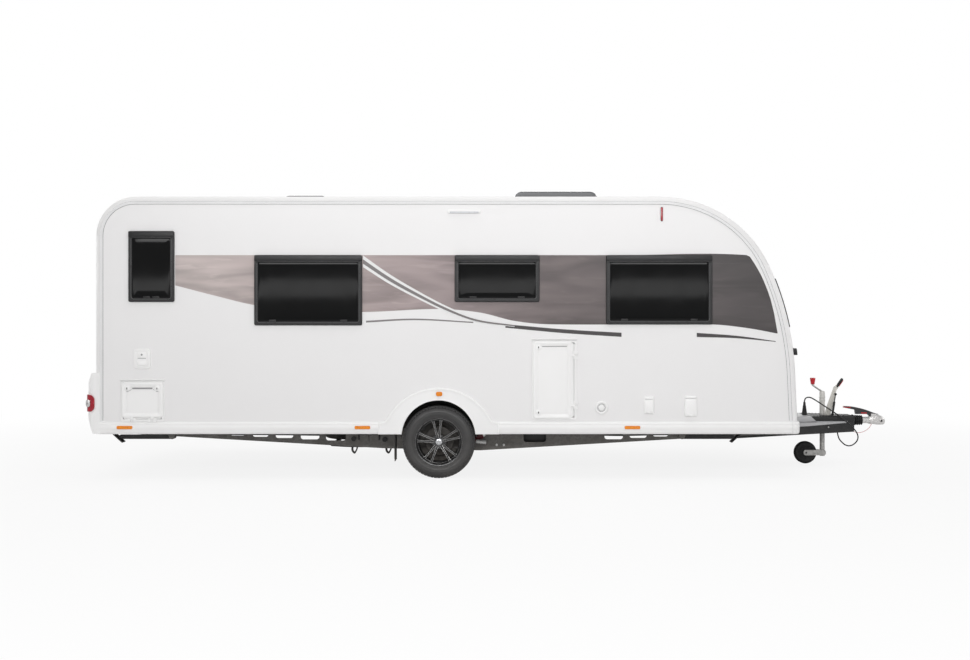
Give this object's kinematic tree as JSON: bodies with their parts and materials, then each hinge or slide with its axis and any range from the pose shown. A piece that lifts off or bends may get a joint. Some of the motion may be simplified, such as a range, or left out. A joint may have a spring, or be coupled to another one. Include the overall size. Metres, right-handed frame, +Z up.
{
  "type": "travel caravan",
  "caption": "White single-axle touring caravan with rounded front, dark windows, wall hatches, drawbar with ball coupling and parking jockey wheel.",
  "frame": {"origin": "middle of the overall box at ground level", "axes": "+X forward to the coupling, +Y to the caravan's left, +Z up"},
  "size_m": [7.37, 2.28, 2.613],
  "materials": {
    "white_gelcoat": "gloss",
    "floor_board": "matte",
    "white_trim": "gloss",
    "white_rail": "satin",
    "black_plastic": "satin",
    "smoked_acrylic": "gloss",
    "smoked_dome": "gloss",
    "red_lens": "gloss",
    "amber_lens": "gloss",
    "galvanised": "satin",
    "black_steel": "satin",
    "drum_iron": "matte",
    "dark_alloy": "satin",
    "tyre": "matte",
    "rubber": "matte",
    "silver_cast": "satin",
    "grey_cover": "satin",
    "pale_lever": "satin",
    "red_cord": "gloss",
    "ash_board": "satin",
    "upholstery": "matte"
  },
  "bodies": {
    "caravan": {"floor_panel": "floor_board", "left_side_wall": "white_gelcoat", "right_side_wall": "white_gelcoat", "roof_panel": "white_gelcoat", "front_panel": "white_gelcoat", "rear_panel": "white_gelcoat", "awning_rails": "white_rail", "side_skirts": "white_trim", "wheel_arch_trims": "white_trim", "wheel_boxes": "black_plastic", "rear_bumper": "white_trim", "tail_lamps": "red_lens", "window_frames": "black_plastic", "window_panes": "smoked_acrylic", "rooflight_rims": "white_trim", "rooflight_domes": "smoked_dome", "entrance_door_frame": "white_rail", "locker_boxes": "white_trim", "wall_hatches": "white_trim", "side_marker_lamps": "amber_lens", "grab_handles": "black_plastic", "chassis_rails": "galvanised", "cross_members": "galvanised", "axle_tube": "black_steel", "swing_arms": "black_steel", "left_drawbar": "black_steel", "right_drawbar": "black_steel", "overrun_housing": "black_steel", "coupling_shaft": "galvanised", "shaft_gaiter": "rubber", "coupling_head": "silver_cast", "coupling_handle": "black_plastic", "hitch_cover": "grey_cover", "parking_brake_lever": "pale_lever", "spare_wheel": "tyre", "spare_carrier": "black_steel", "supply_cable": "rubber", "cable_plug": "black_plastic", "breakaway_cable": "red_cord", "furniture": "ash_board", "cushions": "upholstery"},
    "left_wheel": {"left_brake_drum": "drum_iron", "left_rim": "dark_alloy", "left_tyre": "tyre"},
    "right_wheel": {"right_brake_drum": "drum_iron", "right_rim": "dark_alloy", "right_tyre": "tyre"},
    "rear_left_leg": {"rear_left_steady": "black_steel"},
    "rear_right_leg": {"rear_right_steady": "black_steel"},
    "front_left_leg": {"front_left_steady": "black_steel"},
    "front_right_leg": {"front_right_steady": "black_steel"},
    "jockey_post": {"jockey_tube": "galvanised"},
    "jockey_castor": {"jockey_fork": "galvanised"},
    "jockey_roller": {"jockey_wheel": "rubber"},
    "entrance": {"entrance_door": "white_gelcoat", "door_window_frame": "black_plastic", "door_window_pane": "smoked_acrylic"},
    "gas_door": {"gas_locker_door": "white_trim"},
    "cassette_door": {"cassette_locker_door": "white_trim"}
  },
  "joints": [
    {"name": "left_wheel_spin", "type": "hinge", "parent": "caravan", "child": "left_wheel", "pos_m": [-0.603, 0.982, 0.318], "axis": [0, 1, 0], "continuous": true},
    {"name": "right_wheel_spin", "type": "hinge", "parent": "caravan", "child": "right_wheel", "pos_m": [-0.603, -0.982, 0.318], "axis": [0, 1, 0], "continuous": true},
    {"name": "jockey_lift", "type": "slide", "parent": "caravan", "child": "jockey_post", "axis": [0, 0, 1], "range_m": [0, 0.09]},
    {"name": "jockey_swivel", "type": "hinge", "parent": "jockey_post", "child": "jockey_castor", "pos_m": [3.079, 0, 0.13], "axis": [0, 0, 1], "continuous": true},
    {"name": "jockey_spin", "type": "hinge", "parent": "jockey_castor", "child": "jockey_roller", "pos_m": [2.912, 0, 0.108], "axis": [0, 1, 0], "continuous": true},
    {"name": "entrance_door_swing", "type": "hinge", "parent": "caravan", "child": "entrance", "pos_m": [0.766, 1.127, 1.3965], "axis": [0, 0, -1], "range_deg": [0, 165]},
    {"name": "gas_door_swing", "type": "hinge", "parent": "caravan", "child": "gas_door", "pos_m": [0.577, -1.127, 0.8655], "axis": [0, 0, 1], "range_deg": [0, 165]},
    {"name": "cassette_door_drop", "type": "hinge", "parent": "caravan", "child": "cassette_door", "pos_m": [-3.1825, -1.127, 0.526], "axis": [1, 0, 0], "range_deg": [0, 110]},
    {"name": "rear_left_steady_drop", "type": "hinge", "parent": "caravan", "child": "rear_left_leg", "pos_m": [-2.99, 0.86, 0.345], "axis": [0, -1, 0], "range_deg": [0, 42]},
    {"name": "rear_right_steady_drop", "type": "hinge", "parent": "caravan", "child": "rear_right_leg", "pos_m": [-2.99, -0.86, 0.345], "axis": [0, -1, 0], "range_deg": [0, 42]},
    {"name": "front_left_steady_drop", "type": "hinge", "parent": "caravan", "child": "front_left_leg", "pos_m": [1.56, 0.86, 0.345], "axis": [0, 1, 0], "range_deg": [0, 42]},
    {"name": "front_right_steady_drop", "type": "hinge", "parent": "caravan", "child": "front_right_leg", "pos_m": [1.56, -0.86, 0.345], "axis": [0, 1, 0], "range_deg": [0, 42]}
  ]
}
